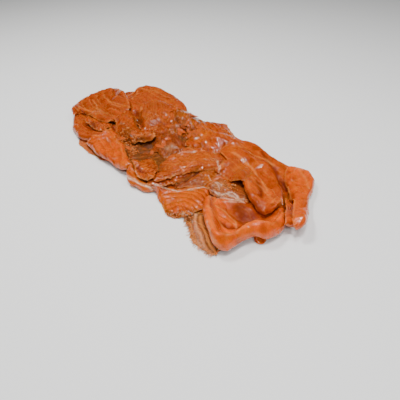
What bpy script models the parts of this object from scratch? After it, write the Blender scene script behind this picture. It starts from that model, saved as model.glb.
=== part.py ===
"""A side of smoked trout, cut into thin slices that lie folded and overlapping in one long bed.

Plan positions are millimetres on the surface that the trout lies on: x runs along the bed, y across it.
Each slice is a sheet lofted between two rails, its near and its far side. It is laid over the slices before
it in the list, so the order of SLICES is the order in which they were put down.
"""

import math

import bmesh
import bpy
import numpy as np
from mathutils import Vector, noise

MM = 0.001
SLICE_THICKNESS = 2.4
EDGE_SHARE = 0.4  # thickness left at a cut edge, as a share of the middle's
GAP = 0.4  # between one slice and the next
CELL = 5.4  # side of one mesh cell, where a slice gives no cell of its own
PLAN_SIZE = (330, 190)  # the heights are kept over this plan, on a 1 mm grid
TUCK = math.radians(-35)  # where a rolled side ends, under its own widest point
ROLL_ROWS = 4
ROLL_SHARE = 0.42  # of a slice's width, the most that its rolled sides take
ROLL_FADE = 6  # how far a rolled side's height reaches inwards, where a slice gives no fade of its own
RIPPLE_LENGTH = 13
RIPPLE_HEIGHT = 2.2
EDGE_RIPPLE = 0.4  # ripple left at a slice's outline, as a share of the middle's
BRIDGING_ROUNDS = 4
LIFT_SHARES = (0.5, 0.5, 0.7, 1.0, 1.0)
RAIL_SAMPLES = 60
CURVE_STEPS = 12
SAMPLE_STEPS = 9
WET_ROUGHNESS = 0.3

FLESH = (0.80, 0.27, 0.075)
DEEP = (0.74, 0.20, 0.04)
PINK = (0.78, 0.30, 0.13)
BROWN = (0.44, 0.20, 0.075)
PALE = (0.78, 0.52, 0.38)

SLICES = [
    # The first layer, flat on the surface
    dict(name="bed_left", colour=PALE, cell=7, flat=True,
         near=[(80, 26), (89, 24), (99, 24), (110, 25), (119, 25), (126, 26), (132, 31), (138, 37)],
         far=[(66, 62), (75, 78), (90, 84), (110, 80), (130, 66)]),
    dict(name="bed_far_left", colour=DEEP, cell=10, flat=True,
         near=[(18, 100), (35, 86), (58, 84), (90, 92)],
         far=[(24, 126), (36, 136), (54, 143), (88, 143)]),
    dict(name="bed_middle", colour=BROWN, cell=8, flat=True,
         near=[(96, 40), (125, 33), (150, 33), (175, 33), (202, 39)],
         far=[(92, 100), (118, 108), (150, 110), (180, 108), (205, 106)]),
    dict(name="bed_far_middle", colour=DEEP, cell=10, flat=True,
         near=[(84, 106), (120, 109), (151, 111), (210, 108)],
         far=[(90, 139), (108, 143), (124, 139), (142, 142), (160, 141), (185, 138), (212, 138)]),
    dict(name="bed_right", colour=DEEP, cell=10, flat=True,
         near=[(194, 44), (222, 43), (251, 48), (284, 66)],
         far=[(196, 110), (224, 132), (256, 134), (288, 118)]),
    # The left end
    dict(name="far_left_slice", colour=FLESH, crown=2, roll_far=1.5,
         near=[(46, 89), (65, 89), (81, 93), (96, 101), (108, 110), (119, 121), (132, 127)],
         far=[(46, 102), (45, 114), (44, 124), (36, 138), (42, 147), (57, 151), (75, 152), (95, 149),
              (116, 143)],
         folds=[dict(path=[(55, 132), (69, 139), (87, 139), (106, 138)], height=2.5, width=6)]),
    dict(name="pocket_slice", colour=FLESH, roll=1.8,
         near=[(30, 51), (46, 40), (61, 32), (80, 28), (92, 32), (101, 37), (108, 44)],
         far=[(32, 56), (35, 63), (48, 66), (63, 68), (79, 69), (95, 66)],
         folds=[dict(path=[(51, 47), (72, 39), (87, 41), (99, 48)], height=4, width=4)]),
    dict(name="pocket_flap", colour=FLESH,
         near=[(55, 48), (72, 44), (86, 43), (97, 43), (106, 46)],
         far=[(41, 61), (48, 65), (60, 66), (74, 66), (86, 66)],
         folds=[dict(path=[(65, 45), (81, 46), (92, 48), (100, 53)], height=3, width=4)]),
    dict(name="head_slice", colour=FLESH, crown=2, roll_far=1.8,
         near=[(44, 44), (40, 50), (40, 55), (47, 57), (64, 56), (76, 57), (88, 60), (82, 73)],
         far=[(38, 45), (20, 57), (10, 70), (6, 87), (7, 103), (14, 112), (29, 112), (54, 105), (73, 99)],
         folds=[dict(path=[(50, 49), (59, 58), (74, 61), (87, 65)], height=3.5, width=4)]),
    # The middle
    dict(name="far_rough_slice", colour=PINK, crown=2,
         near=[(98, 84), (112, 82), (127, 83), (136, 89), (141, 98), (143, 109)],
         far=[(85, 99), (76, 118), (79, 127), (90, 133), (109, 133), (121, 136), (129, 137)],
         folds=[dict(path=[(83, 114), (86, 121), (100, 122)], height=3, width=4),
                dict(path=[(108, 93), (114, 104), (129, 108)], height=2, width=5)]),
    dict(name="mid_far_slice", colour=DEEP, crown=2,
         near=[(140, 96), (148, 100), (155, 104), (163, 111), (166, 118)],
         far=[(113, 130), (123, 133), (130, 136), (138, 140), (145, 144)],
         folds=[dict(path=[(136, 116), (139, 124), (150, 125)], height=2, width=5)]),
    dict(name="wrinkle_slice", colour=PINK, crown=2,
         near=[(148, 68), (161, 68), (169, 71), (172, 80), (173, 90)],
         far=[(133, 84), (138, 91), (146, 97), (155, 102), (163, 106)],
         folds=[dict(path=[(147, 79), (149, 89), (159, 94)], height=2.5, width=3.5),
                dict(path=[(157, 70), (161, 79), (168, 86)], height=2.5, width=3.5)]),
    dict(name="peak_slice", colour=FLESH, crown=1.5,
         near=[(166, 95), (176, 97), (184, 102), (193, 109), (198, 119), (205, 129)],
         far=[(154, 116), (150, 134), (151, 147), (160, 156), (174, 151), (187, 146), (198, 143)],
         folds=[dict(path=[(160, 116), (171, 122), (186, 126)], height=2.5, width=5)]),
    dict(name="twist_slice", colour=FLESH, crown=2,
         near=[(87, 67), (101, 61), (116, 57), (126, 57), (133, 60), (139, 66), (144, 71), (144, 78)],
         far=[(72, 85), (77, 93), (84, 95), (96, 88), (108, 79), (115, 80), (122, 84), (128, 88)],
         folds=[dict(path=[(91, 76), (103, 74), (117, 64), (129, 63), (137, 69),
                           (141, 78)], height=6.5, width=6)]),
    dict(name="bright_flap", colour=DEEP, roll=2.0,
         near=[(93, 28), (103, 27), (116, 26), (127, 26), (138, 28), (149, 29), (162, 30), (164, 36)],
         far=[(96, 32), (100, 36), (106, 41), (108, 47), (103, 56), (110, 56), (120, 54), (132, 50),
              (144, 44), (158, 39)],
         folds=[dict(path=[(114, 44), (112, 52), (128, 48), (143, 43), (162, 36)], height=6, width=6)]),
    dict(name="near_rim", colour=DEEP, roll=1.8,
         near=[(166, 28), (169, 26), (178, 25), (186, 27), (193, 30), (196, 37), (199, 41)],
         far=[(163, 38), (170, 35), (176, 36), (186, 36), (191, 38), (195, 40), (198, 43)]),
    dict(name="valley_slice", colour=DEEP,
         near=[(205, 48), (211, 55), (217, 64), (222, 70), (220, 80)],
         far=[(200, 59), (200, 70), (203, 82), (206, 94), (213, 99)]),
    dict(name="under_strip", colour=PINK,
         near=[(191, 32), (197, 38), (202, 46), (206, 54), (208, 66)],
         far=[(184, 40), (186, 50), (189, 61), (192, 72), (197, 82)]),
    dict(name="long_slice", colour=PINK, crown=1,
         near=[(194, 36), (197, 42), (200, 52), (205, 61), (208, 73), (213, 83), (216, 94)],
         far=[(172, 61), (170, 72), (172, 85), (176, 97), (186, 104), (196, 107), (208, 107)],
         folds=[dict(path=[(192, 42), (196, 56), (202, 67), (205, 76)], height=3, width=5)]),
    dict(name="ragged_flap", colour=PINK, crown=0.5,
         near=[(164, 37), (174, 33), (183, 32), (192, 34), (195, 39)],
         far=[(153, 49), (154, 56), (158, 61), (166, 61), (178, 54)],
         folds=[dict(path=[(169, 43), (172, 50), (175, 55)], height=2, width=4),
                dict(path=[(176, 36), (180, 42), (185, 45)], height=2, width=4)]),
    # The right end
    dict(name="frayed_strip", colour=BROWN,
         near=[(233, 34), (244, 30), (253, 25), (263, 22), (273, 23), (279, 25)],
         far=[(233, 42), (240, 45), (248, 46), (259, 40), (270, 35), (278, 32)]),
    dict(name="fan_slice", colour=FLESH, crown=1,
         near=[(201, 35), (208, 32), (216, 29), (224, 26), (232, 29), (239, 37), (241, 51)],
         far=[(196, 36), (202, 40), (206, 45), (212, 51), (217, 60), (223, 68), (232, 68)],
         folds=[dict(path=[(205, 36), (214, 45), (221, 56), (229, 64)], height=2, width=5)]),
    dict(name="small_tab", colour=DEEP,
         near=[(286, 57), (290, 54), (294, 54), (295, 58), (292, 63)],
         far=[(282, 61), (283, 63), (285, 65), (287, 67), (289, 69)]),
    dict(name="far_right_slice", colour=FLESH, crown=2, roll_far=1.5,
         near=[(196, 110), (214, 106), (228, 107), (242, 106), (258, 103), (271, 99), (282, 97)],
         far=[(199, 128), (203, 135), (208, 141), (214, 144), (226, 141), (239, 136), (251, 138), (264, 141)],
         folds=[dict(path=[(211, 119), (231, 118), (250, 114), (272, 102)], height=2.5, width=5)]),
    dict(name="front_roll", colour=DEEP, roll=4.6, fade=3.6, cell=4.2,
         near=[(240, 55), (247, 45), (255, 38), (266, 31), (276, 26), (282, 29), (284, 37), (285, 46),
               (289, 53), (296, 58), (298, 68), (296, 80)],
         far=[(239, 60), (239, 68), (243, 74), (249, 78), (257, 81), (265, 81), (272, 81), (277, 82),
              (281, 84), (282, 90), (286, 92)],
         folds=[dict(path=[(247, 55), (260, 46), (273, 38)], height=3, width=6)]),
    dict(name="membrane_slice", colour=PALE,
         near=[(232, 65), (238, 64), (243, 68), (249, 73), (257, 76), (264, 78)],
         far=[(226, 68), (223, 79), (224, 86), (233, 88), (242, 91), (253, 91)]),
    dict(name="right_fold", colour=DEEP, roll=1.6,
         near=[(299, 72), (301, 76), (303, 81), (304, 88)],
         far=[(278, 102), (279, 108), (279, 114), (281, 120)],
         folds=[dict(path=[(281, 98), (289, 88), (294, 81)], height=3.5, width=3.5)]),
    dict(name="right_end_slice", colour=FLESH, roll=2.0,
         near=[(306, 78), (308, 84), (307, 91), (301, 103), (296, 110), (291, 120), (287, 132),
               (282, 140), (274, 142), (268, 138)],
         far=[(302, 77), (299, 82), (296, 88), (292, 94), (287, 100), (280, 106), (273, 112), (266, 118),
              (259, 128), (258, 135)],
         folds=[dict(path=[(290, 92), (284, 102), (276, 110), (267, 119)], height=4, width=5)]),
    dict(name="tongue_slice", colour=DEEP, roll=1.6,
         near=[(235, 97), (248, 88), (256, 81), (265, 77), (273, 75), (279, 76), (283, 79), (283, 85)],
         far=[(236, 105), (241, 108), (251, 106), (261, 103), (269, 101), (275, 98), (280, 96), (283, 90)],
         folds=[dict(path=[(246, 93), (259, 88), (272, 84), (281, 83)], height=2, width=6)]),
    dict(name="pointed_flap", colour=PINK,
         near=[(216, 86), (220, 90), (227, 90), (238, 87), (248, 88)],
         far=[(214, 93), (212, 105), (216, 113), (228, 114), (240, 109)]),
]


class Heights:
    """The highest point of everything laid so far, over the plan."""

    def __init__(self):
        self.top = np.zeros(PLAN_SIZE)

    def _cells(self, x, y):
        i = np.clip(np.round(x).astype(int), 1, PLAN_SIZE[0] - 2)
        j = np.clip(np.round(y).astype(int), 1, PLAN_SIZE[1] - 2)
        return i, j

    def add(self, samples):
        i, j = self._cells(samples[..., 0], samples[..., 1])
        np.maximum.at(self.top, (i.ravel(), j.ravel()), samples[..., 2].ravel())

    def floor(self, x, y):
        """What a slice has to clear at a place: the highest neighbour cell and the gap, or the bare surface."""
        i, j = self._cells(x, y)
        below = np.max([self.top[i + a, j + b] for a in (-1, 0, 1) for b in (-1, 0, 1)], axis=0)
        return np.where(below > 0, below + GAP, 0.0)


def rail(points, count):
    """A smooth curve through the points, sampled evenly along its length."""
    p = np.array(points, float)
    ends = np.vstack([2 * p[0] - p[1], p, 2 * p[-1] - p[-2]])
    t = np.linspace(0, 1, CURVE_STEPS, endpoint=False)[:, None]
    fine = []
    for a, b, c, d in zip(ends, ends[1:], ends[2:], ends[3:]):
        fine.append(0.5 * (2 * b + (c - a) * t + (2 * a - 5 * b + 4 * c - d) * t**2
                           + (3 * b - a - 3 * c + d) * t**3))
    fine = np.vstack(fine + [p[-1:]])
    along = np.concatenate([[0], np.cumsum(np.linalg.norm(np.diff(fine, axis=0), axis=1))])
    at = np.linspace(0, along[-1], count)
    return np.column_stack([np.interp(at, along, fine[:, k]) for k in (0, 1)])


def rolled_rows(radius):
    """Inward distance and height of the rows that make a rolled side, from its tucked end to its top."""
    outer = radius + SLICE_THICKNESS
    turn = np.linspace(TUCK, math.pi / 2, ROLL_ROWS + 1)
    return outer - radius * np.cos(turn), radius * np.sin(turn) - outer * math.sin(TUCK)


def laid_plan(spec):
    """Plan position and roll height of each grid point, as arrays [along, across], and the rows of each roll."""
    near_line = rail(spec["near"], RAIL_SAMPLES)
    far_line = rail(spec["far"], RAIL_SAMPLES)
    length = np.linalg.norm(np.diff(near_line, axis=0), axis=1).sum() * 0.5
    length += np.linalg.norm(np.diff(far_line, axis=0), axis=1).sum() * 0.5
    width = np.linalg.norm(far_line - near_line, axis=1).mean()
    cell = spec.get("cell", CELL)
    along = max(3, round(length / cell))
    across = max(3, round(width / cell))
    near = rail(spec["near"], along + 1)
    far = rail(spec["far"], along + 1)
    span = np.linalg.norm(far - near, axis=1)
    towards = (far - near) / span[:, None]
    roll, roll_far = spec.get("roll", 0), spec.get("roll_far", 0)
    fade = spec.get("fade", ROLL_FADE)
    if roll:
        across = max(2, across - 1)
    if roll_far:
        across = max(2, across - 1)
    columns = []
    for n, f, w, way in zip(near, far, span, towards):
        fit = min(1, ROLL_SHARE * w / (roll + roll_far + SLICE_THICKNESS))
        rows = []
        start, rise = 0.0, 0.0
        if roll:
            inward, up = rolled_rows(roll)
            rows += [(d * fit, h * fit) for d, h in zip(inward, up)][:-1]
            start, rise = inward[-1] * fit, up[-1] * fit
        stop, rise_far = w, 0.0
        tail = []
        if roll_far:
            inward, up = rolled_rows(roll_far)
            tail = [(w - d * fit, h * fit) for d, h in zip(inward, up)][:-1][::-1]
            stop, rise_far = w - inward[-1] * fit, up[-1] * fit
        for s in np.linspace(0, 1, across + 1):
            away = start + s * (stop - start)
            height = rise * math.exp(-((away - start) / fade) ** 2)
            height += rise_far * math.exp(-((stop - away) / fade) ** 2)
            rows.append((away, height))
        rows += tail
        columns.append([(*(n + way * d), h) for d, h in rows])
    grid = np.array(columns)
    return grid, (ROLL_ROWS if roll else 0), (ROLL_ROWS if roll_far else 0)


def distance_to(path, x, y):
    """How far each plan point lies from a path of straight runs."""
    best = np.full(x.shape, 1e9)
    for (ax, ay), (bx, by) in zip(path, path[1:]):
        run = np.array([bx - ax, by - ay], float)
        t = np.clip(((x - ax) * run[0] + (y - ay) * run[1]) / (run @ run), 0, 1)
        best = np.minimum(best, np.hypot(x - ax - t * run[0], y - ay - t * run[1]))
    return best


def relaxed(z, floor, rounds):
    """The sheet bridges steps below it: each point takes its neighbours' mean, but never sinks below its floor."""
    for _ in range(rounds):
        mean = z.copy()
        mean[1:-1] = (z[:-2] + z[2:]) / 2
        mean[:, 1:-1] = (mean[:, 1:-1] + (z[:, :-2] + z[:, 2:]) / 2) / 2
        z = np.maximum(floor, mean)
    return z


def grid_triangles(along, across):
    index = np.arange((along + 1) * (across + 1)).reshape(along + 1, across + 1)
    a, b, c, d = index[:-1, :-1], index[1:, :-1], index[1:, 1:], index[:-1, 1:]
    return np.concatenate([np.stack([a, b, c], -1).reshape(-1, 3), np.stack([a, c, d], -1).reshape(-1, 3)])


def samples_on(corners):
    """Points spread over each triangle, close enough to leave no grid cell out."""
    n = SAMPLE_STEPS
    shares = np.array([(i, j, n - i - j) for i in range(n + 1) for j in range(n + 1 - i)]) / n
    return np.einsum("sk,tkc->tsc", shares, corners)


def lifted_clear(points, triangles, heights):
    """Raises the points until no triangle of the sheet's underside reaches into what lies below."""
    for share in LIFT_SHARES:
        spread = samples_on(points[triangles])
        short = heights.floor(spread[..., 0], spread[..., 1]) - spread[..., 2]
        short = np.maximum(short.max(axis=1), 0)
        lift = np.zeros(len(points))
        for corner in range(3):
            np.maximum.at(lift, triangles[:, corner], short)
        points[:, 2] += lift * share
    return points


def sheet_points(spec, heights, order):
    """The underside of one slice as it lies, in millimetres, as an array [along, across, xyz]."""
    grid, rolled, rolled_far = laid_plan(spec)
    x, y, roll_height = grid[..., 0], grid[..., 1], grid[..., 2]
    floor = heights.floor(x, y)
    z = relaxed(floor.copy(), floor, BRIDGING_ROUNDS)
    if spec.get("flat"):
        return np.stack([x, y, z], -1)
    if rolled:
        z[:, : rolled + 1] = z[:, : rolled + 1].max(axis=1, keepdims=True)
    if rolled_far:
        z[:, -rolled_far - 1:] = z[:, -rolled_far - 1:].max(axis=1, keepdims=True)
    u = np.linspace(-1, 1, x.shape[0])[:, None]
    v = np.linspace(-1, 1, x.shape[1])[None, :]
    inside = (1 - u**2) * (1 - v**2)
    relief = spec.get("crown", 0) * inside
    for fold in spec.get("folds", []):
        away = distance_to(fold["path"], x, y)
        relief = relief + fold["height"] * np.exp(-((away / fold["width"]) ** 2))
    ripple = np.array([noise.noise(Vector((a, b, 0)) / RIPPLE_LENGTH + Vector((0, 0, 3.1 * order)))
                       for a, b in zip(x.ravel(), y.ravel())])
    even = EDGE_RIPPLE + (1 - EDGE_RIPPLE) * inside
    relief = relief + RIPPLE_HEIGHT * np.maximum(0, ripple.reshape(x.shape)) * even
    z = z + relief + roll_height
    return np.stack([x, y, z], -1)


def flesh(name, colour):
    material = bpy.data.materials.new(name)
    material.use_nodes = True
    shader = material.node_tree.nodes["Principled BSDF"]
    shader.inputs["Base Color"].default_value = (*colour, 1)
    shader.inputs["Roughness"].default_value = WET_ROUGHNESS
    shader.inputs["Metallic"].default_value = 0
    return material


def laid_down(spec, heights, order):
    """The underside of one slice clear of everything below it, as an array [along, across, xyz]."""
    points = sheet_points(spec, heights, order)
    triangles = grid_triangles(points.shape[0] - 1, points.shape[1] - 1)
    return lifted_clear(points.reshape(-1, 3).copy(), triangles, heights).reshape(points.shape)


def slice_object(spec, points, collection):
    """One slice as an object: a grid moved onto the sheet's points, and thickened upwards."""
    along, across = points.shape[0] - 1, points.shape[1] - 1
    mesh = bpy.data.meshes.new(spec["name"])
    body = bmesh.new()
    bmesh.ops.create_grid(body, x_segments=along, y_segments=across, size=0.5)
    at_edge = []
    for vert in body.verts:
        i = round((vert.co.x + 0.5) * along)
        j = round((vert.co.y + 0.5) * across)
        vert.co = Vector(points[i, j]) * MM
        at_edge.append(i in (0, along) or j in (0, across))
    body.to_mesh(mesh)
    body.free()

    obj = bpy.data.objects.new(spec["name"], mesh)
    collection.objects.link(obj)
    mesh.materials.append(flesh(spec["name"], spec["colour"]))
    mesh.shade_smooth()
    group = obj.vertex_groups.new(name="thickness")
    for index, thin in enumerate(at_edge):
        group.add([index], EDGE_SHARE if thin else 1.0, "REPLACE")
    shell = obj.modifiers.new("thickness", "SOLIDIFY")
    shell.thickness = SLICE_THICKNESS * MM
    shell.offset = 1
    shell.vertex_group = group.name
    return obj


def solid_corners(obj):
    """The corners of each triangle of the finished solid, in millimetres."""
    bpy.context.view_layer.update()
    finished = obj.evaluated_get(bpy.context.evaluated_depsgraph_get())
    mesh = finished.to_mesh()
    mesh.calc_loop_triangles()
    points = np.empty(len(mesh.vertices) * 3)
    mesh.vertices.foreach_get("co", points)
    faces = np.empty(len(mesh.loop_triangles) * 3, int)
    mesh.loop_triangles.foreach_get("vertices", faces)
    finished.to_mesh_clear()
    return points.reshape(-1, 3)[faces.reshape(-1, 3)] / MM


def centre_on_origin(objects):
    """Moves the bed so that the origin is under its middle, on the surface."""
    corners = np.vstack([solid_corners(obj).reshape(-1, 3) for obj in objects])
    low, high = corners.min(axis=0), corners.max(axis=0)
    shift = Vector((-(low[0] + high[0]) / 2, -(low[1] + high[1]) / 2, -low[2])) * MM
    for obj in objects:
        for vert in obj.data.vertices:
            vert.co += shift


def main():
    for obj in list(bpy.data.objects):
        bpy.data.objects.remove(obj)
    collection = bpy.data.collections.new("smoked_trout")
    bpy.context.scene.collection.children.link(collection)
    heights = Heights()
    laid = []
    for order, spec in enumerate(SLICES):
        obj = slice_object(spec, laid_down(spec, heights, order), collection)
        heights.add(samples_on(solid_corners(obj)))
        laid.append(obj)
    centre_on_origin(laid)


main()
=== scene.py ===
import math
import random

import bmesh
import bpy
import numpy as np
from mathutils import Matrix, Vector, kdtree, noise
from mathutils.bvhtree import BVHTree


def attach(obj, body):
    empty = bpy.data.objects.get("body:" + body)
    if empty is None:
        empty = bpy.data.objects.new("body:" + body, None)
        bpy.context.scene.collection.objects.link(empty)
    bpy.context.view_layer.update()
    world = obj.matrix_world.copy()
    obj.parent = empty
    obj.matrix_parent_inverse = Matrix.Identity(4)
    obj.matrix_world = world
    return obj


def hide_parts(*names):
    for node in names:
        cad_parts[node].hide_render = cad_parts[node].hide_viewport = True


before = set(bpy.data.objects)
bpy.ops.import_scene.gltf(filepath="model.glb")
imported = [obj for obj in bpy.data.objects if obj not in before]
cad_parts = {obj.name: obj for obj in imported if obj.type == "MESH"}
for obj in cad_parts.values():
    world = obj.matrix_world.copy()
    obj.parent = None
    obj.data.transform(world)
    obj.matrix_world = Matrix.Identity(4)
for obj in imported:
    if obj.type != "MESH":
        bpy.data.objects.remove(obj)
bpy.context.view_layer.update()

mm = 0.001

# The camera stands where the photo was taken from, by the slate's corners
camera = dict(place=(0.2196, -0.1638, 0.1881), right=(0.6811, 0.7319, -0.0211), forward=(-0.540, 0.482, -0.690),
              lens=30.06, sensor=36, nearest=0.01)

studio = dict(floorSize=6, floorColour=(0.80, 0.80, 0.79, 1), floorRoughness=0.85, sky=(1, 1, 1, 1), skyStrength=0.11)
# The soft lamps light the flesh without a mirror image; the small ones make the wet sparkle
lamps = [
    dict(name="softKey", place=(-0.32, -0.06, 0.64), size=0.14, watts=4.0, mirrored=False),
    dict(name="overhead", place=(0.15, 0.10, 0.80), size=0.30, watts=0.8, mirrored=False),
    dict(name="frontFill", place=(0.75, -0.20, 0.45), size=0.4, watts=1.0, mirrored=False),
    dict(name="sparkleTop", place=(0.14, -0.09, 0.66), size=0.12, watts=2.8, mirrored=True),
    dict(name="sparkleRight", place=(0.25, 0.30, 0.60), size=0.06, watts=1.0, mirrored=True),
    dict(name="sparkleLeft", place=(-0.30, -0.30, 0.55), size=0.05, watts=0.5, mirrored=True),
    dict(name="sparkleNear", place=(0.30, -0.10, 0.60), size=0.06, watts=0.6, mirrored=True),
    dict(name="sparkleFront", place=(0.42, -0.30, 0.56), size=0.05, watts=1.3, mirrored=True),
]


def selectOnly(piece):
    bpy.ops.object.select_all(action="DESELECT")
    piece.select_set(True)
    bpy.context.view_layer.objects.active = piece


def setCamera():
    back = -Vector(camera["forward"]).normalized()
    up = back.cross(Vector(camera["right"])).normalized()
    right = up.cross(back)
    data = bpy.data.cameras.new("camera")
    data.lens = camera["lens"]
    data.sensor_width = camera["sensor"]
    data.clip_start = camera["nearest"]
    stand = bpy.data.objects.new("camera", data)
    bpy.context.scene.collection.objects.link(stand)
    turn = Matrix((right, up, back)).transposed()
    stand.matrix_world = Matrix.Translation(camera["place"]) @ turn.to_4x4()
    bpy.context.scene.camera = stand


def setStudio():
    bpy.ops.object.select_all(action="DESELECT")
    bpy.ops.mesh.primitive_plane_add(size=studio["floorSize"], location=(0, 0, -0.3 * mm))
    floor = bpy.context.object
    floor.name = "floor"
    material = bpy.data.materials.new("paleFloor")
    material.use_nodes = True
    shader = material.node_tree.nodes["Principled BSDF"]
    shader.inputs["Base Color"].default_value = studio["floorColour"]
    shader.inputs["Roughness"].default_value = studio["floorRoughness"]
    floor.data.materials.append(material)
    world = bpy.data.worlds.new("studio")
    bpy.context.scene.world = world
    world.use_nodes = True
    world.cycles_visibility.glossy = False
    world.node_tree.nodes["Background"].inputs["Color"].default_value = studio["sky"]
    world.node_tree.nodes["Background"].inputs["Strength"].default_value = studio["skyStrength"]
    for lamp in lamps:
        bpy.ops.object.light_add(type="AREA", location=lamp["place"])
        light = bpy.context.object
        light.name = lamp["name"]
        light.data.shape = "DISK"
        light.data.size = lamp["size"]
        light.data.energy = lamp["watts"]
        light.visible_glossy = lamp["mirrored"]
        light.rotation_euler = (-Vector(lamp["place"])).to_track_quat("-Z", "Y").to_euler()


setCamera()
setStudio()
print("camera, floor and lamps set")


# A socket that takes part in sums, so that shader maths reads as an expression
class Wire:
    def __init__(self, tree, socket=None):
        self.tree = tree
        self.socket = socket

    def node(self, kind, settings=None, inputs=None, output=0):
        made = self.tree.nodes.new(kind)
        for key, value in (settings or {}).items():
            setattr(made, key, value)
        for key, value in (inputs or {}).items():
            if isinstance(value, Wire):
                self.tree.links.new(value.socket, made.inputs[key])
            else:
                made.inputs[key].default_value = value
        return Wire(self.tree, made.outputs[output])

    def maths(self, operation, *values):
        return self.node("ShaderNodeMath", dict(operation=operation), dict(enumerate(values)))

    def __add__(self, other):
        return self.maths("ADD", self, other)

    def __radd__(self, other):
        return self.maths("ADD", other, self)

    def __sub__(self, other):
        return self.maths("SUBTRACT", self, other)

    def __rsub__(self, other):
        return self.maths("SUBTRACT", other, self)

    def __mul__(self, other):
        return self.maths("MULTIPLY", self, other)

    def __rmul__(self, other):
        return self.maths("MULTIPLY", other, self)

    def alone(self, operation):
        return self.maths(operation, self)

    def step(self, low, high):
        # 0 below low, 1 above high and smooth between; the other way round where low is above high
        turned = low > high
        inputs = {0: self, 1: min(low, high), 2: max(low, high), 3: 1.0 * turned, 4: 1.0 - turned}
        return self.node("ShaderNodeMapRange", dict(interpolation_type="SMOOTHSTEP"), inputs)

    def attribute(self, name):
        return self.node("ShaderNodeAttribute", dict(attribute_name=name), output=2)

    def grain(self, scale, detail=3.0, rough=0.55, at=None):
        # cloudy noise, scale in lumps a metre
        inputs = {"Vector": at, "Scale": scale, "Detail": detail, "Roughness": rough}
        return self.node("ShaderNodeTexNoise", None, inputs)

    def blend(self, factor, first, second):
        return self.node("ShaderNodeMix", dict(data_type="RGBA"), {0: factor, 6: first, 7: second}, output=2)

    def feed(self, shader, name):
        self.tree.links.new(self.socket, shader.inputs[name])


def newMaterial(name):
    material = bpy.data.materials.new(name)
    material.use_nodes = True
    wire = Wire(material.node_tree)
    return material, material.node_tree.nodes["Principled BSDF"], wire, wire.node("ShaderNodeTexCoord", output=3)


# Colours of the cut flesh, from its fat to its deepest line; the deep tone also paints shade in hollows, slots and
# creases, and the vivid orange tone partly paints light
tones = dict(
    brightAndLit=(0.72, 0.100, 0.002, 1),
    orange=(0.42, 0.062, 0.004, 1),
    amber=(0.56, 0.115, 0.002, 1),
    deep=(0.14, 0.011, 0.0004, 1),
    pink=(0.36, 0.070, 0.016, 1),
    fat=(0.66, 0.200, 0.040, 1),
    web=(0.80, 0.56, 0.42, 1),
    brown=(0.10, 0.032, 0.006, 1),
    grey=(0.36, 0.165, 0.075, 1),
    gold=(0.34, 0.078, 0.001, 1),
)
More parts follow.
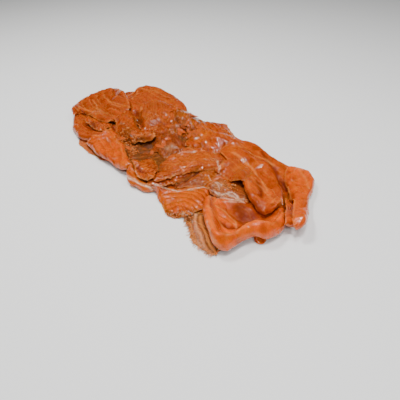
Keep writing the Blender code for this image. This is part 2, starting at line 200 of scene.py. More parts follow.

# Each slice: where its fat lines are centred (x, y in mm), how far apart they lie, how strongly they show and how
# fatty they are; how pink, brown, pale and golden it is all over, how much painted shade deepens it all over and how
# much its orange is raised, partly to its own vivid orange and partly as painted light; how calm its fibres and how
# pale its edging are; how ragged its rim is and how far it strays and droops, in mm; and how finely its sheet is
# divided
slices = {
    "bed_left": dict(lines=(-60, -140), apart=5, show=0.4, pink=0.5, pale=0.35, ragged=0.9, fine=2),
    "bed_far_left": dict(lines=(-87, -29), apart=6, show=0.4, pink=0.3, ragged=0.7, fine=2),
    "bed_middle": dict(lines=(-233, 86), apart=5, show=0.4, pink=0.7, brown=0.95, ragged=0.8, fine=3, paintedShade=0.6),
    "bed_far_middle": dict(lines=(-30, -60), apart=5, show=0.3, brown=0.3, ragged=1.0, fine=2),
    "bed_right": dict(lines=(60, 160), apart=6, show=0.3, ragged=0.7, fine=2),
    "far_left_slice": dict(lines=(-87, -29), apart=7.5, show=0.28, ragged=0.7, paintedShade=0.15, pink=0.7, calm=0.5),
    "pocket_slice": dict(lines=(-87, 1), apart=4.2, show=0.45, pink=0.5, ragged=0.6, paintedShade=0.15),
    "pocket_flap": dict(lines=(-95, -110), apart=4.2, show=0.5, pink=0.3, ragged=0.8),
    "head_slice": dict(lines=(-112, 62), apart=9.0, show=0.5, ragged=0.6, droop=2.3, droopReach=4.0, paintedShade=0.22,
        pink=0.6, calm=0.5),
    "far_rough_slice": dict(lines=(-177, -132), apart=2.8, show=0.30, pink=0.5, brown=0.2, ragged=1.2, stray=2.5),
    "mid_far_slice": dict(lines=(-60, 0), apart=3.4, show=0.4, gold=0.6, brown=0.45, ragged=1.5, stray=2.8),
    "wrinkle_slice": dict(lines=(-60, -60), apart=3.4, show=0.35, pink=0.5, brown=0.4, ragged=1.2, stray=2.5,
        droop=1.6, paintedShade=0.42),
    "peak_slice": dict(lines=(-10, -60), apart=5.5, show=0.35, ragged=1.0, stray=2.0, droop=3.0, droopReach=4.0),
    "twist_slice": dict(lines=(-110, -60), apart=3.4, show=0.3, pink=0.35, paintedShade=0.15, edging=0.75, ragged=1.4,
        stray=1.6, droop=3.0, droopReach=3.5),
    "bright_flap": dict(lines=(-57, -129), apart=7.0, show=0.30, brightAndLit=0.6, ragged=0.7, droop=1.0, droopReach=2.2,
        paintedShade=0.08, calm=0.6),
    "near_rim": dict(lines=(20, -130), apart=4.5, show=0.4, brightAndLit=0.4, ragged=0.6),
    "valley_slice": dict(lines=(120, -60), apart=3.0, show=0.5, gold=0.7, brown=0.3, ragged=1.0, stray=2.0),
    "under_strip": dict(lines=(-233, 86), apart=3.2, show=0.55, pink=0.6, ragged=0.7),
    "long_slice": dict(lines=(-233, 86), apart=3.2, show=0.5, pink=0.45, ragged=0.9, droop=2.2, droopReach=3.5),
    "ragged_flap": dict(lines=(-40, -60), apart=3.0, show=0.65, pink=0.2, ragged=1.4, stray=1.8, droop=2.2,
        droopReach=3.5),
    "frayed_strip": dict(lines=(96, -130), apart=3.4, show=0.9, pink=0.5, brown=0.85, pale=0.06, paintedShade=0.3,
        ragged=1.8),
    "fan_slice": dict(lines=(78, -66), apart=4.2, show=0.75, brightAndLit=0.5, fatty=0.25, ragged=1.2),
    "small_tab": dict(lines=(160, -60), apart=4.0, show=0.3, brightAndLit=0.3, ragged=0.6),
    "far_right_slice": dict(lines=(64, -85), apart=9.0, show=0.22, ragged=0.7, calm=0.6),
    # the front roll is raised to full vivid orange, painted light for its highlights
    "front_roll": dict(lines=(107, -62), apart=9.0, show=0.15, brightAndLit=1.0, ragged=0.6, droop=0.7, droopReach=2.2,
        calm=0.6),
    "membrane_slice": dict(lines=(80, 60), apart=2.8, show=0.6, pink=0.6, brown=0.55, ragged=1.2, stray=2.2,
        droop=1.5),
    "right_fold": dict(lines=(90, 0), apart=5.0, show=0.35, brightAndLit=0.6, ragged=0.7),
    "right_end_slice": dict(lines=(60, 40), apart=8.0, show=0.22, brightAndLit=0.6, ragged=0.8, droop=2.0, droopReach=3.0,
        calm=0.6),
    "tongue_slice": dict(lines=(100, -70), apart=7.0, show=0.22, brightAndLit=0.4, pink=0.2, ragged=0.7, droop=0.8,
        droopReach=2.2, calm=0.6),
    "pointed_flap": dict(lines=(60, -40), apart=5.0, show=0.3, pink=0.5, ragged=1.2, stray=2.2, droop=3.5,
        droopReach=4.5),
}

# Patches that lie over several slices: centre and reach in mm, strength
patches = dict(
    # painted shade: patches over the bowl behind the front roll and over hollows and slots between the folds
    paintedShade=[(103, -19, 10, 1.0), (116, -18, 9, 1.0), (110, -23, 10, 1.0), (123, -14, 6, 0.8), (53, -32, 8, 0.6),
          (60, -21, 8, 0.5), (111, 25, 4, 0.9), (126, 14, 4, 0.9), (-58, 0, 6, 0.9), (-69, 6, 7, 0.9),
          (-73, -43, 5, 0.8),
          (-128, 34, 5, 0.8), (-30, 8, 8, 0.5), (0, 10, 8, 0.5), (36, -38, 6, 0.4), (84, 6, 7, 0.4)],
    brown=[(-29, -31, 9, 0.9), (-19, -26, 8, 0.9), (-43, -31, 8, 0.6), (-13, -37, 7, 0.7), (13, -27, 6, 0.7),
           (20, -35, 5, 0.5), (4, 13, 3.5, 0.9), (9, 21, 4, 0.7), (3, 8, 3, 0.8), (12, -14, 5, 0.4),
           (-1, -14, 4, 0.6), (82, -10, 3, 0.8), (85, -6, 3, 0.7), (-58, 0, 5, 0.5), (-69, 6, 5, 0.5),
           (70, -62, 6, 0.7), (78, -57, 6, 0.6), (84, -50, 5, 0.6), (-73, -43, 4, 0.5), (107, -20, 9, 0.35),
           (-38, -28, 8, 0.8)],
    pale=[(5, -10, 3.5, 0.8), (6, -6, 3, 0.7), (76, -14, 6, 0.6), (84, -19, 5, 0.4), (92, -16, 4, 0.4),
          (31, 14, 3, 0.4), (52, 8, 4, 0.4)],
    pink=[(-20, 20, 22, 0.6), (-5, -5, 16, 0.6), (25, -25, 18, 0.4), (60, 0, 14, 0.5), (-45, 15, 14, 0.5)],
)

# Pale fat lines and seams that cross the slices: points in mm, width, strength
seams = [
    ([(-133, -31), (-119, -31), (-102, -26), (-90, -23)], 0.8, 0.6),
    ([(-136, -10), (-111, -17), (-91, -21), (-83, -16)], 0.8, 0.6),
    ([(-126, 2), (-106, -2), (-94, 0)], 0.8, 0.5),
    ([(-117, 44), (-95, 50), (-70, 53)], 0.8, 0.6),
    ([(86, -37), (94, -33), (101, -30), (108, -31), (114, -35)], 0.8, 1.0),
    ([(94, -46), (101, -44), (110, -45)], 0.9, 0.6),
    ([(104, -55), (112, -57)], 0.8, 0.5),
    ([(83, -47), (97, -58), (110, -64), (119, -66)], 1.2, 0.8),
    ([(88, -47), (101, -56), (113, -61), (121, -62)], 1.0, 0.8),
    ([(86, -56), (99, -63), (109, -66)], 0.9, 0.7),
    ([(54, 25), (75, 25), (96, 16), (109, 7)], 0.9, 0.7),
    ([(52, 38), (74, 38), (93, 38)], 0.9, 0.6),
    ([(88, 9), (102, 8), (118, 1)], 0.8, 0.5),
    ([(29, -33), (40, -19), (49, -4)], 0.8, 0.5),
    ([(107, 48), (120, 43), (130, 33)], 0.9, 0.55),
    ([(2, 34), (15, 42), (34, 41)], 0.8, 0.45),
    ([(19, 2), (29, 8), (35, 21)], 0.9, 0.5),
]

# White threads of skin, given the same way
webs = [
    ([(14, -62), (26, -60), (38, -56), (48, -49), (58, -41), (64, -32), (68, -23)], 0.9, 0.9),
    ([(66, -26), (76, -22), (88, -20), (100, -12)], 0.7, 0.7),
    ([(85, -20), (89, -12), (103, -14)], 0.6, 0.7),
    ([(84, -25), (87, -16), (94, -14), (101, -12)], 0.6, 0.45),
    ([(70, -14), (80, -17)], 0.6, 0.4),
    ([(19, -9), (24, 1), (27, 6)], 0.8, 0.3),
    ([(90, -24), (94, -18), (102, -14)], 0.6, 0.4), ([(83, -47), (97, -58), (110, -64), (119, -66)], 1.0, 0.22),
    ([(87, -53), (99, -61), (110, -66)], 0.8, 0.22), ([(52, 8), (60, 2), (66, -6)], 0.7, 0.5),
    ([(60, -10), (68, -14), (76, -12)], 0.7, 0.6),
]

# Lengths, heights and depths in mm
relief = dict(
    # how the fat lines wander, and the grooves and fibres along them
    wanderLength=30, wander=0.5, waverLength=9, waver=0.09, grooveStart=0.35, grooveDepth=0.65, fibreWidth=0.9,
    fibreStretch=0.22, fibreDepth=0.18,
    # the folds and wrinkles that all slices share, and the share of them that is left where nothing is crumpled
    evenShare=0.25, warp=3.0, warpLength=12, foldLength=15, foldHeight=1.8, wrinkleLength=11.0, wrinkleHeight=2.6,
    wrinkleSquash=(0.75, 1.35, 1), finerSquash=(0.7, 1.4, 1), finerShare=0.35, sharpness=2.4, valley=0.6,
    creaseWidth=0.07, finerCrease=0.6, slotSway=0.8, seamSway=1.5,
    # rims
    stray=1.3, strayReach=4.5, strayLength=9, raggedReach=1.6, tearLength=2.6, fineTearLength=1.2, fineTear=0.6,
    droop=1.6, droopReach=3.0,
    # small pebbles, and the heights at which folds fade away
    bumpLength=3.4, bumpDepth=0.20, fineBump=0.4, smoothRim=(0.2, 1.6), settle=3.0, droopFrom=0.5, lowTop=15.0,
    highTop=18.4, crestLow=16.5, crestRoom=3.2)

# Folds and hollows that cross the slices: points in mm, height, width
foldLines = [
    ([(-63, 1), (-62, 13), (-51, 18)], 1.8, 3.5), ([(-50, -3), (-41, 11), (-49, 39)], 2.2, 3.0),
    ([(16, 5), (21, 26), (43, 42)], 2.2, 3.2), ([(-7, -8), (-9, 6), (0, 9)], 2.0, 2.6),
    ([(-33, -3), (-23, 2), (-20, 15)], 2.0, 2.8), ([(-14, 16), (-3, 22), (-1, 34)], -2.4, 4.0),
    ([(-73, 9), (-54, -2)], -3.2, 3.2), ([(59, 31), (82, 33), (98, 38), (112, 36)], 1.6, 4.0),
    ([(70, 24), (96, 24), (106, 12)], -1.8, 3.5), ([(56, -21), (53, -9), (55, 1)], 1.2, 3.0),
    ([(3, 33), (17, 36), (30, 39)], 1.6, 3.0), ([(-30, 30), (-22, 36), (-14, 32)], 1.8, 3.0),
    ([(-128, 22), (-112, 14), (-96, 12)], 1.0, 6.0), ([(111, 25), (119, 20), (126, 14)], -2.5, 2.6),
    ([(-97, -56), (-84, -48), (-72, -40)], 1.2, 3.5), ([(20, -30), (36, -22), (50, -8)], 1.4, 3.0),
    ([(91, -42), (101, -52), (110, -58), (118, -58), (122, -50), (123, -40), (127, -32), (131, -26), (132, -18),
      (131, -7), (128, 3)], 4.2, 5.0),
    ([(88, -38), (97, -42), (105, -44)], 2.0, 4.0),
    ([(98, -24), (106, -27), (113, -27), (118, -20), (121, -12)], -4.4, 5.6),
    ([(-48, -10), (-63, -2), (-75, 11), (-75, 23), (-62, 30)], 1.8, 3.0),
    ([(-69, -25), (-70, -15), (-57, -13), (-42, -25), (-31, -29), (-19, -22), (-15, -14)], 1.6, 3.5),
    ([(78, 2), (93, -4), (105, -15), (116, -16), (125, -13), (126, -4), (116, 6), (104, 14)], 0.8, 4.0),
]

# Narrow slots between folds, pressed in and deepened with painted shade: points in mm, depth, width
slots = [
    ([(-95, -43), (-83, -47), (-71, -46), (-62, -40)], 1.8, 1.6), ([(-123, -35), (-111, -32), (-96, -32)], 0.8, 1.2),
    ([(48, -40), (50, -32), (51, -24), (52, -15)], 1.6, 1.3), ([(104, 29), (109, 28), (115, 25)], 2.2, 1.8),
    ([(120, 18), (125, 16), (129, 13)], 2.2, 1.8), ([(75, -19), (77, -24), (83, -24)], 1.0, 1.2),
    ([(16, -52), (25, -50), (27, -45), (25, -40)], 1.8, 1.6), ([(-78, 10), (-67, 5), (-55, -1), (-46, -4)], 3.4, 2.6),
    ([(-66, -26), (-55, -32), (-47, -34)], 1.6, 1.6),
    ([(107, -43), (112, -41), (115, -36), (117, -29), (120, -22)], 1.6, 2.0),
    ([(97, 10), (105, 5), (111, -3)], 1.4, 2.4),
    ([(71, 46), (85, 38), (97, 34), (109, 24)], 0.9, 1.8),
    ([(-26, 25), (-13, 22), (-4, 25), (-1, 34), (9, 36)], 1.8, 1.6),
]

# Where the slices are crumpled most: centre and reach in mm, strength
crumpled = [(0, 5, 42, 0.9), (-30, 15, 30, 0.8), (30, -25, 30, 0.7), (75, -15, 16, 0.6), (-20, -25, 20, 0.7),
            (75, -60, 18, 0.8)]


# How a plain slice is read, in mm and degrees: points closer than weld are one, its rim is where it turns by more
# than rimTurn, and the rim is marked at every rimStep
sheet = dict(weld=0.001, flatTurn=50, squareTurn=60, rimTurn=57, rimStep=1.2)


def divided(node, name, levels):
    # a smooth, finely divided copy of the plain slice
    piece = node.copy()
    piece.data = node.data.copy()
    piece.name = name
    bpy.context.scene.collection.objects.link(piece)
    selectOnly(piece)
    piece.hide_set(False)
    bpy.ops.object.mode_set(mode="EDIT")
    bpy.ops.mesh.select_all(action="SELECT")
    bpy.ops.mesh.remove_doubles(threshold=sheet["weld"] * mm)
    bpy.ops.mesh.tris_convert_to_quads(face_threshold=math.radians(sheet["flatTurn"]),
                                       shape_threshold=math.radians(sheet["squareTurn"]))
    bpy.ops.object.mode_set(mode="OBJECT")
    rim = rimTree(piece)
    smooth = piece.modifiers.new("smooth", "SUBSURF")
    smooth.levels = smooth.render_levels = levels
    bpy.ops.object.modifier_apply(modifier="smooth")
    bpy.ops.object.shade_smooth()
    return piece, rim


def rimTree(piece):
    # points along the cut edges, where the sheet's upper and lower sides turn to its thin side
    body = bmesh.new()
    body.from_mesh(piece.data)
    points = []
    for edge in body.edges:
        if len(edge.link_faces) == 2 and edge.calc_face_angle() > math.radians(sheet["rimTurn"]):
            first, last = (vert.co for vert in edge.verts)
            count = max(1, round((last - first).length / (sheet["rimStep"] * mm)))
            points += [first.lerp(last, i / count) for i in range(count + 1)]
    body.free()
    tree = kdtree.KDTree(len(points))
    for index, point in enumerate(points):
        tree.insert(point, index)
    tree.balance()
    return tree


def smoothStep(value, low, high):
    t = np.clip((value - low) / (high - low), 0, 1)
    return t * t * (3 - 2 * t)


def cloud(points, size, seed, squash=(1, 1, 1)):
    # soft noise from -1 to 1, lumps about size mm across
    scaled = points * (np.array(squash) / size)
    return np.array([noise.noise(Vector(p) + Vector((seed, 2 * seed, -seed))) for p in scaled])


def patchAmount(x, y, spots):
    amount = np.zeros(len(x))
    for cx, cy, reach, strength in spots:
        amount = np.maximum(amount, strength * np.exp(-((x - cx) ** 2 + (y - cy) ** 2) / reach ** 2))
    return amount


def awayFrom(path, x, y):
    best = np.full(len(x), np.inf)
    for (ax, ay), (bx, by) in zip(path, path[1:]):
        dx, dy = bx - ax, by - ay
        t = np.clip(((x - ax) * dx + (y - ay) * dy) / (dx * dx + dy * dy), 0, 1)
        best = np.minimum(best, np.hypot(x - ax - t * dx, y - ay - t * dy))
    return best


def bell(path, x, y, width):
    return np.exp(-(awayFrom(path, x, y) / width) ** 2)


def lineAmount(x, y, lines):
    amount = np.zeros(len(x))
    for path, width, strength in lines:
        amount = np.maximum(amount, strength * bell(path, x, y, width))
    return amount


def sharedFolds(ground, wander):
    # one field of folds for the whole bed, so that slices keep clear of each other, with its creases and slots and
    # the painted shade that darkens them
    x, y = ground[:, 0], ground[:, 1]
    even = relief["evenShare"]
    amount = even + (1 - even) * np.clip(patchAmount(x, y, crumpled), 0, 1)
    astray = [cloud(ground, relief["warpLength"], warpSeed) for warpSeed in (4.4, 8.8)]
    warped = ground + relief["warp"] * np.column_stack(astray + [0 * x])
    creased = np.abs(cloud(warped, relief["wrinkleLength"], 3.3, relief["wrinkleSquash"]))
    finer = np.abs(cloud(warped, relief["wrinkleLength"] * 0.5, 6.1, relief["finerSquash"]))
    folds = cloud(ground, relief["foldLength"], 1.7) * relief["foldHeight"]
    for field, share in ((creased, 1), (finer, relief["finerShare"])):
        folds += (np.minimum(field * relief["sharpness"], 1) - relief["valley"]) * relief["wrinkleHeight"] * share
    folds *= amount
    for path, height, width in foldLines:
        folds += height * bell(path, x, y, width)
    slotShade = np.zeros(len(x))
    for path, depth, width in slots:
        slot = bell(path, x + relief["slotSway"] * wander, y, width)
        folds -= depth * slot
        slotShade = np.maximum(slotShade, slot)
    width = relief["creaseWidth"]
    # painted shade along the bottoms of the creases
    creaseShade = np.maximum(np.exp(-creased / width), relief["finerCrease"] * np.exp(-finer / width)) * amount
    return folds, creaseShade, slotShade


def pressed(height):
    # the highest crests are pressed down softly, all slices alike
    above, room = np.maximum(height - relief["crestLow"], 0), relief["crestRoom"]
    return height + room * (1 - np.exp(-above / room)) - above


def addRelief(piece, rim, look, seed):
    # the last number of each cloud is its seed; the slice's own seed is added where slices may differ
    mesh = piece.data
    count = len(mesh.vertices)
    flat = np.empty(count * 3)
    mesh.vertices.foreach_get("co", flat)
    points = flat.reshape(-1, 3) / mm
    normals = np.empty(count * 3)
    mesh.vertex_normals.foreach_get("vector", normals)
    normals = normals.reshape(-1, 3)
    edge = np.array([rim.find(Vector(p) * mm)[2] for p in points]) / mm
    x, y, z = points.T
    ground = np.column_stack([x, y, 0 * z])

    # Fat lines are rings around one far point, so they bend gently, and they wander a little
    cx, cy = look["lines"]
    radius = np.hypot(x - cx, y - cy)
    wander = cloud(ground, relief["wanderLength"], 5.3) * relief["wander"]
    wander += cloud(ground, relief["waverLength"], 9.1) * relief["waver"]
    phase = radius / look["apart"] + wander
    along = np.arctan2(y - cy, x - cx) * radius.mean()
    ridge = np.abs((phase % 1) - 0.5) * 2
    groove = smoothStep(ridge, relief["grooveStart"], 1.0) * relief["grooveDepth"] * look["show"]

    folds, creaseShade, slotShade = sharedFolds(ground, wander)
    keep = smoothStep(z, 0, relief["settle"])
    keep *= 1 - smoothStep(z, relief["lowTop"], relief["highTop"]) * (folds > 0)

    # The rim is moved about in the plane, most at the very edge, and less finely further in
    stray = look.get("stray", relief["stray"]) * np.exp(-edge / relief["strayReach"])
    ragged = look["ragged"] * np.exp(-edge / relief["raggedReach"])
    tears = []
    for far, coarse, fine in ((31.0, 11.0, 3.0), (41.0, 23.0, 7.0)):
        torn = cloud(points, relief["tearLength"], coarse + seed)
        torn += relief["fineTear"] * cloud(points, relief["fineTearLength"], fine + seed)
        tears.append(torn * ragged + cloud(points, relief["strayLength"], far + seed) * stray)

    stretched = np.column_stack([phase * look["apart"], along * relief["fibreStretch"], z])
    fibre = cloud(stretched, relief["fibreWidth"], 2.0 + seed)
    pebbled = cloud(ground, relief["bumpLength"], 17.0)
    pebbled += relief["fineBump"] * cloud(ground, relief["bumpLength"] * 0.5, 27.0)
    inwards = groove + relief["fibreDepth"] * (0.5 + 0.5 * fibre) + relief["bumpDepth"] * pebbled
    inwards *= smoothStep(edge, *relief["smoothRim"])
    moved = points - normals * inwards[:, None]
    droop = look.get("droop", relief["droop"]) * np.exp(-edge / look.get("droopReach", relief["droopReach"]))
    moved[:, 0] += tears[0]
    moved[:, 1] += tears[1]
    moved[:, 2] += folds * keep - droop * smoothStep(z, relief["droopFrom"], relief["settle"])
    moved[:, 2] = pressed(np.maximum(moved[:, 2], 0))
    mesh.vertices.foreach_set("co", (moved * mm).ravel())

    layers = dict(grain=phase, along=along, rim=edge, creaseShade=creaseShade)
    for name, spots in patches.items():
        layers[name] = np.clip(patchAmount(x, y, spots) + look.get(name, 0), 0, 1)
    # painted shade of the slots joins the shaded patches
    layers["paintedShade"] = np.maximum(layers["paintedShade"], slotShade)
    sway = relief["seamSway"] * cloud(ground, relief["waverLength"], 14.2)
    facing = smoothStep(normals[:, 2], 0.1, 0.5)  # seams and threads lie on the upper side alone
    layers["seam"] = lineAmount(x + sway, y + sway, seams) * facing
    layers["web"] = lineAmount(x + sway, y + sway, webs) * facing
    for name, values in layers.items():
        layer = mesh.attributes.new(name, "FLOAT", "POINT")
        layer.data.foreach_set("value", values.astype(np.float32))
    mesh.update()


# Patterns of the flesh in lumps a metre, how strongly each colour comes in, how wet it is, and its bumps (distance
# in mm)
flesh = dict(
    waver=420, gaps=160, clouds=95, flecks=640, amber=42, wetness=260, sparkles=620, lumps=230, pebbles=480,
    fibres=1.7, fibreStretch=0.14, lineWaver=0.22, lineStrength=0.9, shade=0.75, cloudShade=0.45, amberStrength=0.45,
    # the strengths of painted shade over hollows, slots and creases are given here too
    pink=0.55, paintedShade=0.92, fibreDark=0.28, fibreDarkByLines=0.25, fibrePale=0.30, creaseShade=0.85, brown=0.85,
    fleckStrength=0.35, seam=0.9, edging=0.48,
    roughness=0.17, roughPatches=0.14, roughDark=0.45, film=0.16, filmSparkle=0.80, dryDark=0.95, dryBrown=0.7,
    lumpHeight=0.5, pebbleHeight=0.12, fibreHeight=0.05, bumpStrength=0.85, bumpDistance=1.6,
    constants={"Subsurface Weight": 0.5, "Subsurface Radius": (1.0, 0.35, 0.15), "Subsurface Scale": 3.5 * mm,
               "IOR": 1.38, "Specular IOR Level": 0.3, "Coat Roughness": 0.10})


def between(first, second, share):
    return [a + (b - a) * share for a, b in zip(first[:3], second[:3])] + [1]


def fleshMaterial(name, look):
    material, shader, wire, place = newMaterial(name)
    grain, paintedShade, brown = wire.attribute("grain"), wire.attribute("paintedShade"), wire.attribute("brown")

    # One pale fat line a ring, and flesh that deepens from one line to the next
    phase = grain + (wire.grain(flesh["waver"], 2.0, at=place) - 0.5) * flesh["lineWaver"]
    saw = phase.alone("FRACT")
    ridge = (saw - 0.5).alone("ABSOLUTE") * 2
    broken = wire.grain(flesh["gaps"], 2.0, at=place).step(0.36, 0.58)
    line = ridge.step(0.80, 0.97) * broken * (flesh["lineStrength"] * look["show"] * look.get("fatty", 1.0))
    shade = (saw - 0.08).alone("ABSOLUTE").step(0.05, 0.80) * look["show"]

    drawn = {0: grain * look["apart"], 1: wire.attribute("along") * flesh["fibreStretch"]}
    fibre = wire.grain(flesh["fibres"], 3.0, 0.6, at=wire.node("ShaderNodeCombineXYZ", None, drawn))
    cloudy = wire.grain(flesh["clouds"], 3.0, 0.6, at=place)
    fleck = wire.grain(flesh["flecks"], 2.0, 0.6, at=place)
    calm = look.get("calm", 1.0)

    # raised towards a vivid orange: partly the flesh's own colour, partly painted light for the highlights on the
    # front roll and the better-lit right-hand slices
    start = between(tones["orange"], tones["brightAndLit"], look.get("brightAndLit", 0.0))
    start = between(start, tones["gold"], look.get("gold", 0.0))
    colour = wire.blend(shade * flesh["shade"] + cloudy.step(0.42, 0.72) * flesh["cloudShade"], start, tones["deep"])
    amber = wire.grain(flesh["amber"], 2.0, at=place).step(0.48, 0.66)
    fibreDark = calm * (flesh["fibreDark"] + flesh["fibreDarkByLines"] * look["show"])
    edging = wire.attribute("rim").step(1.8, 0.4) * look.get("edging", flesh["edging"])
    for amount, tone in (
            (amber * flesh["amberStrength"], "amber"),
            (wire.attribute("pink") * flesh["pink"], "pink"),
            # painted shade over hollows, slots and some whole slices
            (paintedShade * flesh["paintedShade"], "deep"),
            (fibre.step(0.48, 0.74) * fibreDark, "deep"),
            (fibre.step(0.46, 0.26) * (calm * flesh["fibrePale"]), "fat"),
            # painted shade in the creases
            (wire.attribute("creaseShade").step(0.15, 0.9) * flesh["creaseShade"], "deep"),
            (brown * cloudy.step(0.22, 0.52) * flesh["brown"], "brown"),
            (wire.attribute("pale") * (0.55 + 0.45 * fibre), "grey"),
            (fleck.step(0.56, 0.74) * flesh["fleckStrength"], "deep"),
            (line, "fat"),
            (wire.attribute("seam") * flesh["seam"], "fat"),
            (wire.attribute("web") * fleck.step(0.25, 0.55), "web"),
            (edging * fleck.step(0.25, 0.55), "fat")):
        colour = wire.blend(amount, colour, tones[tone])
    colour.feed(shader, "Base Color")

    # Hollows and brown places are drier, and elsewhere the wet film glints in small spots
    wetness = wire.grain(flesh["wetness"], 2.0, at=place).step(0.40, 0.75)
    (flesh["roughness"] + wetness * flesh["roughPatches"] + paintedShade * flesh["roughDark"]).feed(shader, "Roughness")
    sparkle = wire.grain(flesh["sparkles"], 1.0, 0.5, at=place).step(0.46, 0.62)
    film = flesh["film"] + sparkle * flesh["filmSparkle"]
    film = film * (1.0 - paintedShade * flesh["dryDark"]) * (1.0 - brown * flesh["dryBrown"])
    film.feed(shader, "Coat Weight")
    height = wire.grain(flesh["lumps"], 2.0, 0.50, at=place) * flesh["lumpHeight"]
    height += wire.grain(flesh["pebbles"], 2.0, 0.5, at=place) * flesh["pebbleHeight"] + fibre * flesh["fibreHeight"]
    bump = {"Strength": flesh["bumpStrength"], "Distance": flesh["bumpDistance"] * mm, "Height": height}
    wire.node("ShaderNodeBump", None, bump).feed(shader, "Normal")
    for key, value in flesh["constants"].items():
        shader.inputs[key].default_value = value
    return material


def makeSlices():
    for seed, (name, look) in enumerate(slices.items()):
        piece, rim = divided(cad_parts[name], name + "_flesh", look.get("fine", 3))
        addRelief(piece, rim, look, 1.37 * seed)
        piece.data.materials.clear()
        piece.data.materials.append(fleshMaterial(name + "_flesh", look))
        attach(piece, "root")
        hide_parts(name)


makeSlices()
print("slices cut, folded and coloured")


# Small torn scraps that lie where the slices are roughest: centre and reach of each patch in mm, and how many;
# their sizes are in mm too
scraps = dict(
    places=[(-28, 28, 18, 7), (-6, 24, 14, 9), (4, 30, 10, 6), (0, -12, 12, 4), (-30, -30, 14, 4),
            (76, -56, 8, 4), (-76, -19, 1.5, 4)],
    length=(6.0, 14.0), width=(2.6, 5.5), bend=0.25, raggedness=0.6, thick=0.35, lift=-0.1, ripple=0.35, rise=1.2,
    sink=0.8, restingShare=0.7, columns=8, rows=4, lowestGround=1.5, seed=12,
    patches=140, streaks=700, bumpStrength=0.6, bumpDistance=0.6,
    constants={"Subsurface Weight": 0.22, "Subsurface Radius": (1.0, 0.32, 0.15), "Subsurface Scale": 1.5 * mm})


def surfaceTree():
    corners, faces = [], []
    for name in slices:
        mesh = bpy.data.objects[name + "_flesh"].data
        flat = np.empty(len(mesh.vertices) * 3)
        mesh.vertices.foreach_get("co", flat)
        start = len(corners)
        corners += [tuple(point) for point in flat.reshape(-1, 3)]
        faces += [tuple(start + index for index in face.vertices) for face in mesh.polygons]
    return BVHTree.FromPolygons(corners, faces)


def topAt(tree, x, y):
    hit = tree.ray_cast(Vector((x * mm, y * mm, 0.06)), Vector((0, 0, -1)))[0]
    return 0.0 if hit is None else hit.z / mm


def oneScrap(tree, chance, x, y):
    turn = chance.uniform(0, 2 * math.pi)
    length, width = chance.uniform(*scraps["length"]), chance.uniform(*scraps["width"])
    bend, shift = chance.uniform(-scraps["bend"], scraps["bend"]), chance.uniform(0, 100)
    bpy.ops.mesh.primitive_grid_add(x_subdivisions=scraps["columns"], y_subdivisions=scraps["rows"], size=2)
    scrap = bpy.context.object
    points = []
    for vert in scrap.data.vertices:
        u, v = vert.co.x, vert.co.y
        taper = math.sqrt(max(0.03, 1 - abs(u) ** 2.2))
        ragged = noise.noise(Vector((u * 2.5, v * 1.5, shift)))
        across = v * width / 2 * taper * (1 + scraps["raggedness"] * ragged) + bend * length * u * u / 2
        run = u * length / 2 + 0.5 * noise.noise(Vector((v * 2, u, shift + 5)))
        px = x + run * math.cos(turn) - across * math.sin(turn)
        py = y + run * math.sin(turn) + across * math.cos(turn)
        points.append((px, py, topAt(tree, px, py)))
    # a scrap lies level with most of what is under it, and bridges the narrow hollows
    level = sorted(point[2] for point in points)[int(len(points) * scraps["restingShare"])]
    for vert, (px, py, height) in zip(scrap.data.vertices, points):
        rest = max(min(height, level + scraps["rise"]), level - scraps["sink"]) + scraps["lift"]
        rest += scraps["ripple"] * noise.noise(Vector((px / 2, py / 2, shift)))
        vert.co = Vector((px, py, max(rest, 0.1))) * mm
    shell = scrap.modifiers.new("thickness", "SOLIDIFY")
    shell.thickness = scraps["thick"] * mm
    shell.offset = 1
    smooth = scrap.modifiers.new("smooth", "SUBSURF")
    smooth.levels = smooth.render_levels = 1
    bpy.ops.object.modifier_apply(modifier="thickness")
    bpy.ops.object.modifier_apply(modifier="smooth")
    return scrap


def scrapMaterial():
    material, shader, wire, place = newMaterial("torn_scraps")
    patch = wire.grain(scraps["patches"], 2.0, at=place)
    streak = wire.grain(scraps["streaks"], 3.0, 0.6, at=place)
    colour = wire.blend(patch.step(0.35, 0.60), tones["pink"], tones["orange"])
    colour = wire.blend(patch.step(0.42, 0.30) * 0.7, colour, tones["brown"])
    wire.blend(streak.step(0.52, 0.75) * 0.25, colour, tones["fat"]).feed(shader, "Base Color")
    (0.18 + streak * 0.25).feed(shader, "Roughness")
    bump = {"Strength": scraps["bumpStrength"], "Distance": scraps["bumpDistance"] * mm, "Height": streak}
    wire.node("ShaderNodeBump", None, bump).feed(shader, "Normal")
    for key, value in scraps["constants"].items():
        shader.inputs[key].default_value = value
    return material


def joined(parts, name, material):
    bpy.ops.object.select_all(action="DESELECT")
    for part in parts:
        part.select_set(True)
    bpy.context.view_layer.objects.active = parts[0]
    bpy.ops.object.join()
    bpy.ops.object.mode_set(mode="EDIT")
    bpy.ops.mesh.select_all(action="SELECT")
    bpy.ops.mesh.normals_make_consistent(inside=False)
    bpy.ops.object.mode_set(mode="OBJECT")
    bpy.ops.object.shade_smooth()
    piece = bpy.context.object
    piece.name = name
    piece.data.materials.clear()
    piece.data.materials.append(material)
    return piece


def makeScraps():
    tree = surfaceTree()
    chance = random.Random(scraps["seed"])
    made = []
    for cx, cy, reach, count in scraps["places"]:
        for _ in range(count):
            angle, away = chance.uniform(0, 2 * math.pi), reach * math.sqrt(chance.random())
            x, y = cx + away * math.cos(angle), cy + away * math.sin(angle)
            bpy.ops.object.select_all(action="DESELECT")
            if topAt(tree, x, y) > scraps["lowestGround"]:
                made.append(oneScrap(tree, chance, x, y))
    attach(joined(made, "torn_scraps", scrapMaterial()), "root")


makeScraps()
print("torn scraps laid")


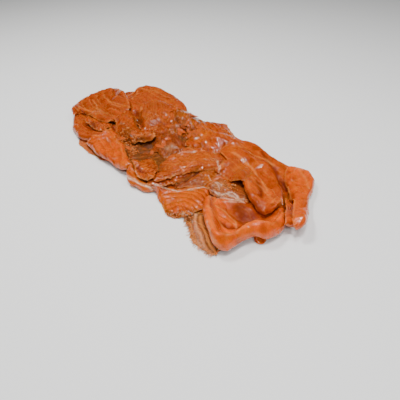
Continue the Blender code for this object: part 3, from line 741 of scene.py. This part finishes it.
# Fine torn fibres: the line in mm that their roots stand on, how far they stray from it, how many, the way they
# point in degrees and its spread, and their length in mm
fibres = dict(
    rows=[
        dict(roots=[(77, -53), (86, -57), (96, -62), (106, -65), (116, -64), (121, -62)], stray=1.4, count=120,
             way=-100, spread=60, length=(1.8, 4.4)),
        dict(roots=[(66, -61), (72, -59), (76, -53), (82, -49)], stray=2.5, count=45, way=-80, spread=70,
             length=(1.5, 3.6)),
        dict(roots=[(90, -55), (100, -58), (112, -60)], stray=3.5, count=16, way=-55, spread=40, length=(3, 7)),
        dict(roots=[(68, -20), (78, -21), (90, -19), (99, -13)], stray=2.5, count=16, way=20, spread=20,
             length=(3, 9)),
        dict(roots=[(-4, 47), (8, 50), (20, 52), (33, 50)], stray=1.5, count=34, way=80, spread=60,
         length=(1.5, 3.5)),
        dict(roots=[(-38, 44), (-20, 46), (-6, 46)], stray=1.5, count=24, way=80, spread=60, length=(1.5, 3.5)),
        dict(roots=[(-60, -20), (-48, -22), (-38, -22), (-28, -16)], stray=1.5, count=34, way=-90, spread=50,
             length=(1.5, 3.5)),
        dict(roots=[(40, 0), (48, 6), (56, 8)], stray=2, count=14, way=30, spread=60, length=(2, 5)),
        dict(roots=[(14, -62), (26, -59)], stray=0.5, count=12, way=12, spread=14, length=(5, 9)),
        dict(roots=[(26, -59), (38, -55), (46, -50)], stray=0.7, count=26, way=26, spread=14, length=(5, 10)),
        dict(roots=[(46, -50), (58, -41), (64, -33)], stray=0.5, count=18, way=46, spread=14, length=(5, 9)),
    ],
    radius=(0.10, 0.22), bend=0.22, sag=0.35, rise=0.8, segments=6, rings=6, patches=260, seed=31)


def alongPath(path, share):
    lengths = [math.dist(a, b) for a, b in zip(path, path[1:])]
    away = share * sum(lengths)
    for (a, b), length in zip(zip(path, path[1:]), lengths):
        if away <= length:
            t = away / length
            return a[0] + (b[0] - a[0]) * t, a[1] + (b[1] - a[1]) * t
        away -= length
    return path[-1]


def makeFibres():
    tree = surfaceTree()
    chance = random.Random(fibres["seed"])
    bpy.ops.object.select_all(action="DESELECT")
    bpy.ops.mesh.primitive_uv_sphere_add(segments=fibres["segments"], ring_count=fibres["rings"], radius=1)
    pattern = bpy.context.object
    made = []
    for row in fibres["rows"]:
        for _ in range(row["count"]):
            x, y = alongPath(row["roots"], chance.random())
            x += chance.gauss(0, row["stray"] / 2)
            y += chance.gauss(0, row["stray"] / 2)
            way = math.radians(row["way"] + chance.gauss(0, row["spread"] / 2))
            length = chance.uniform(*row["length"])
            radius = chance.uniform(*fibres["radius"])
            bend = chance.uniform(-fibres["bend"], fibres["bend"]) * length
            forth, aside = Vector((math.cos(way), math.sin(way))), Vector((-math.sin(way), math.cos(way)))
            copy = pattern.copy()
            copy.data = pattern.data.copy()
            bpy.context.scene.collection.objects.link(copy)
            low = topAt(tree, x, y)
            for vert in copy.data.vertices:
                t = (vert.co.z + 1) / 2
                spot = Vector((x, y)) + forth * (t * length) + aside * (bend * t * t + vert.co.x * radius)
                height = min(max(topAt(tree, *spot), low - fibres["sag"] * length * t), low + fibres["rise"])
                vert.co = Vector((spot.x, spot.y, max(height, 0.05) + radius * (1.0 + vert.co.y))) * mm
            made.append(copy)
    bpy.data.objects.remove(pattern)
    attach(joined(made, "torn_fibres", fibreMaterial()), "root")


def fibreMaterial():
    material, shader, wire, place = newMaterial("torn_fibres")
    patch = wire.grain(fibres["patches"], 2.0, at=place)
    wire.blend(patch.step(0.35, 0.62), tones["grey"], tones["fat"]).feed(shader, "Base Color")
    (0.22 + patch * 0.2).feed(shader, "Roughness")
    return material


makeFibres()
print("torn fibres laid")

# Small soft crumbs of flesh and fat: the line in mm that they lie along, how far they stray, and how many
crumbs = dict(
    rows=[
        dict(path=[(-44, -28), (-37, -34), (-30, -32), (-25, -27), (-23, -20), (-22, -12)], stray=2.8, count=300),
        dict(path=[(-40, -38), (-30, -36), (-20, -30), (-16, -40)], stray=6.0, count=130),
        dict(path=[(-59, 14), (-42, 8), (-31, -2), (-24, 5)], stray=6.0, count=120),
        dict(path=[(-26, 25), (-12, 24), (0, 30), (10, 34)], stray=5.0, count=70),
        dict(path=[(76, -8), (84, -6), (88, -10)], stray=4.0, count=40),
        dict(path=[(66, -62), (76, -56), (86, -52)], stray=4.0, count=45),
    ],
    radius=(0.25, 0.60), long=(0.8, 1.7), wide=(0.7, 1.2), high=(0.5, 0.9), lump=0.45, sink=0.35, segments=7, rings=5,
    lowestGround=0.8, patches=420, seed=53)


def makeCrumbs():
    tree = surfaceTree()
    chance = random.Random(crumbs["seed"])
    bpy.ops.object.select_all(action="DESELECT")
    bpy.ops.mesh.primitive_uv_sphere_add(segments=crumbs["segments"], ring_count=crumbs["rings"], radius=1)
    pattern = bpy.context.object
    made = []
    for row in crumbs["rows"]:
        for _ in range(row["count"]):
            x, y = alongPath(row["path"], chance.random())
            x += chance.gauss(0, row["stray"] / 2)
            y += chance.gauss(0, row["stray"] / 2)
            ground = topAt(tree, x, y)
            if ground < crumbs["lowestGround"]:
                continue
            radius, shift = chance.uniform(*crumbs["radius"]), chance.uniform(0, 100)
            squash = Vector([chance.uniform(*crumbs[side]) for side in ("long", "wide", "high")])
            turn = Matrix.Rotation(chance.uniform(0, math.pi), 3, "Z")
            copy = pattern.copy()
            copy.data = pattern.data.copy()
            bpy.context.scene.collection.objects.link(copy)
            middle = Vector((x, y, ground + radius * (squash.z - crumbs["sink"])))
            for vert in copy.data.vertices:
                lump = 1 + crumbs["lump"] * noise.noise(vert.co * 1.4 + Vector((shift, 0, shift)))
                vert.co = (middle + turn @ (vert.co * squash) * (radius * lump)) * mm
            made.append(copy)
    bpy.data.objects.remove(pattern)
    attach(joined(made, "flesh_crumbs", crumbMaterial()), "root")


def crumbMaterial():
    material, shader, wire, place = newMaterial("flesh_crumbs")
    patch = wire.grain(crumbs["patches"], 2.0, at=place)
    colour = wire.blend(patch.step(0.42, 0.54), tones["orange"], tones["fat"])
    wire.blend(patch.step(0.60, 0.66), colour, tones["grey"]).feed(shader, "Base Color")
    (0.15 + patch * 0.2).feed(shader, "Roughness")
    return material


makeCrumbs()
print("crumbs strewn")
